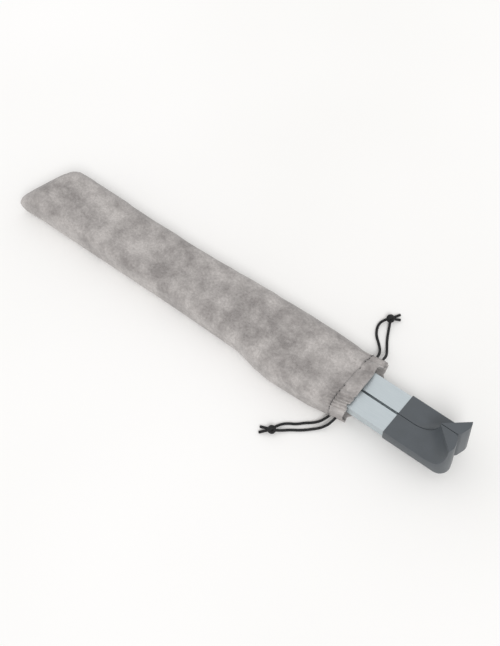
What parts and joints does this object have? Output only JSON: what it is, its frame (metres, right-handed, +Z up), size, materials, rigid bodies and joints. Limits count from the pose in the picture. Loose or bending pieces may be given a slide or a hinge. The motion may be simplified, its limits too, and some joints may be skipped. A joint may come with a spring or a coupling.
{
  "type": "folding laptop stand in a drawstring pouch",
  "caption": "Folding X-frame laptop stand of flat aluminium arms with hooked grey end caps, packed in a soft suede-cloth pouch closed by black drawcords.",
  "frame": {"origin": "on the floor under the centre of the stand and pouch's box, without the loose drawcords; it is on the stand's centre line", "axes": "+X along the folded stand towards its hooks, +Y to the stand's right arm, +Z up from the floor"},
  "size_m": [0.3702, 0.1421, 0.0441],
  "materials": {
    "anodised_aluminium": "satin anodised, fine brushed grain along the bar",
    "cast_aluminium": "die cast, fine blasted",
    "grey_plastic": "moulded, fine matte texture",
    "silicone": "soft matte",
    "nylon": "natural, smooth",
    "steel": "zinc plated",
    "suede_cloth": "short suede nap with soft mottling",
    "drawcord": "round braided, matte"
  },
  "bodies": {
    "pivot": {"pivot_pin": "steel", "pivot_cap": "grey_plastic", "pivot_washer": "nylon"},
    "left_arm": {"left_hook_cap": "grey_plastic", "left_front_tube": "anodised_aluminium", "left_rear_tube": "anodised_aluminium", "left_knuckle": "cast_aluminium", "left_rear_cap": "grey_plastic", "left_front_pad": "silicone", "left_rear_pad": "silicone", "left_cap_screw": "steel", "left_knuckle_screws": "steel", "left_arm_rivets": "steel", "left_front_leg_bracket": "cast_aluminium", "left_front_leg_pin": "steel", "left_rear_leg_bracket": "cast_aluminium", "left_rear_leg_pin": "steel"},
    "left_front_leg": {"left_front_leg_eye": "cast_aluminium", "left_front_leg_tube": "anodised_aluminium", "left_front_leg_foot": "silicone"},
    "left_rear_leg": {"left_rear_leg_eye": "cast_aluminium", "left_rear_leg_tube": "anodised_aluminium", "left_rear_leg_foot": "silicone"},
    "right_arm": {"right_hook_cap": "grey_plastic", "right_front_tube": "anodised_aluminium", "right_rear_tube": "anodised_aluminium", "right_knuckle": "cast_aluminium", "right_rear_cap": "grey_plastic", "right_front_pad": "silicone", "right_rear_pad": "silicone", "right_cap_screw": "steel", "right_knuckle_screws": "steel", "right_arm_rivets": "steel", "right_front_leg_bracket": "cast_aluminium", "right_front_leg_pin": "steel", "right_rear_leg_bracket": "cast_aluminium", "right_rear_leg_pin": "steel"},
    "right_front_leg": {"right_front_leg_eye": "cast_aluminium", "right_front_leg_tube": "anodised_aluminium", "right_front_leg_foot": "silicone"},
    "right_rear_leg": {"right_rear_leg_eye": "cast_aluminium", "right_rear_leg_tube": "anodised_aluminium", "right_rear_leg_foot": "silicone"},
    "pouch": {"pouch_shell": "suede_cloth", "pouch_hem": "suede_cloth", "near_cord_front": "drawcord", "near_cord_rear": "drawcord", "far_cord_front": "drawcord", "far_cord_rear": "drawcord", "near_knot": "drawcord", "far_knot": "drawcord"}
  },
  "joints": [
    {"name": "left_arm_swing", "type": "hinge", "parent": "pivot", "child": "left_arm", "pos_m": [0, 0, 0.0178], "axis": [0, 0, -1], "range_deg": [0, 49.1], "deforming": ["pouch_shell", "pouch_hem", "near_cord_front", "near_cord_rear", "far_cord_front", "far_cord_rear", "near_knot", "far_knot"]},
    {"name": "right_arm_swing", "type": "hinge", "parent": "pivot", "child": "right_arm", "pos_m": [0, 0, 0.0178], "axis": [0, 0, 1], "range_deg": [0, 49.1], "deforming": ["pouch_shell", "pouch_hem", "near_cord_front", "near_cord_rear", "far_cord_front", "far_cord_rear", "near_knot", "far_knot"]},
    {"name": "left_front_leg_fold", "type": "hinge", "parent": "left_arm", "child": "left_front_leg", "pos_m": [0.088, -0.00905, 0.0072], "axis": [0, -1, 0], "range_deg": [0, 95], "deforming": ["pouch_shell", "pouch_hem", "near_cord_front", "near_cord_rear", "far_cord_front", "far_cord_rear", "near_knot", "far_knot"]},
    {"name": "left_rear_leg_fold", "type": "hinge", "parent": "left_arm", "child": "left_rear_leg", "pos_m": [-0.147, 0.00905, 0.0072], "axis": [0, 1, 0], "range_deg": [0, 95], "deforming": ["pouch_shell", "pouch_hem", "near_cord_front", "near_cord_rear", "far_cord_front", "far_cord_rear", "near_knot", "far_knot"]},
    {"name": "right_front_leg_fold", "type": "hinge", "parent": "right_arm", "child": "right_front_leg", "pos_m": [0.088, 0.00905, 0.0072], "axis": [0, -1, 0], "range_deg": [0, 95], "deforming": ["pouch_shell", "pouch_hem", "near_cord_front", "near_cord_rear", "far_cord_front", "far_cord_rear", "near_knot", "far_knot"]},
    {"name": "right_rear_leg_fold", "type": "hinge", "parent": "right_arm", "child": "right_rear_leg", "pos_m": [-0.147, -0.00905, 0.0072], "axis": [0, 1, 0], "range_deg": [0, 95], "deforming": ["pouch_shell", "pouch_hem", "near_cord_front", "near_cord_rear", "far_cord_front", "far_cord_rear", "near_knot", "far_knot"]},
    {"name": "pouch_slide", "type": "slide", "parent": "pivot", "child": "pouch", "axis": [-1, 0, 0], "range_m": [0, 0.3]}
  ],
  "couplings": [
    {"joint": "right_arm_swing", "follows": "left_arm_swing", "ratio": 1},
    {"joint": "left_front_leg_fold", "follows": "left_arm_swing", "ratio": 1.934},
    {"joint": "left_rear_leg_fold", "follows": "left_arm_swing", "ratio": 1.934},
    {"joint": "right_front_leg_fold", "follows": "left_arm_swing", "ratio": 1.934},
    {"joint": "right_rear_leg_fold", "follows": "left_arm_swing", "ratio": 1.934}
  ]
}
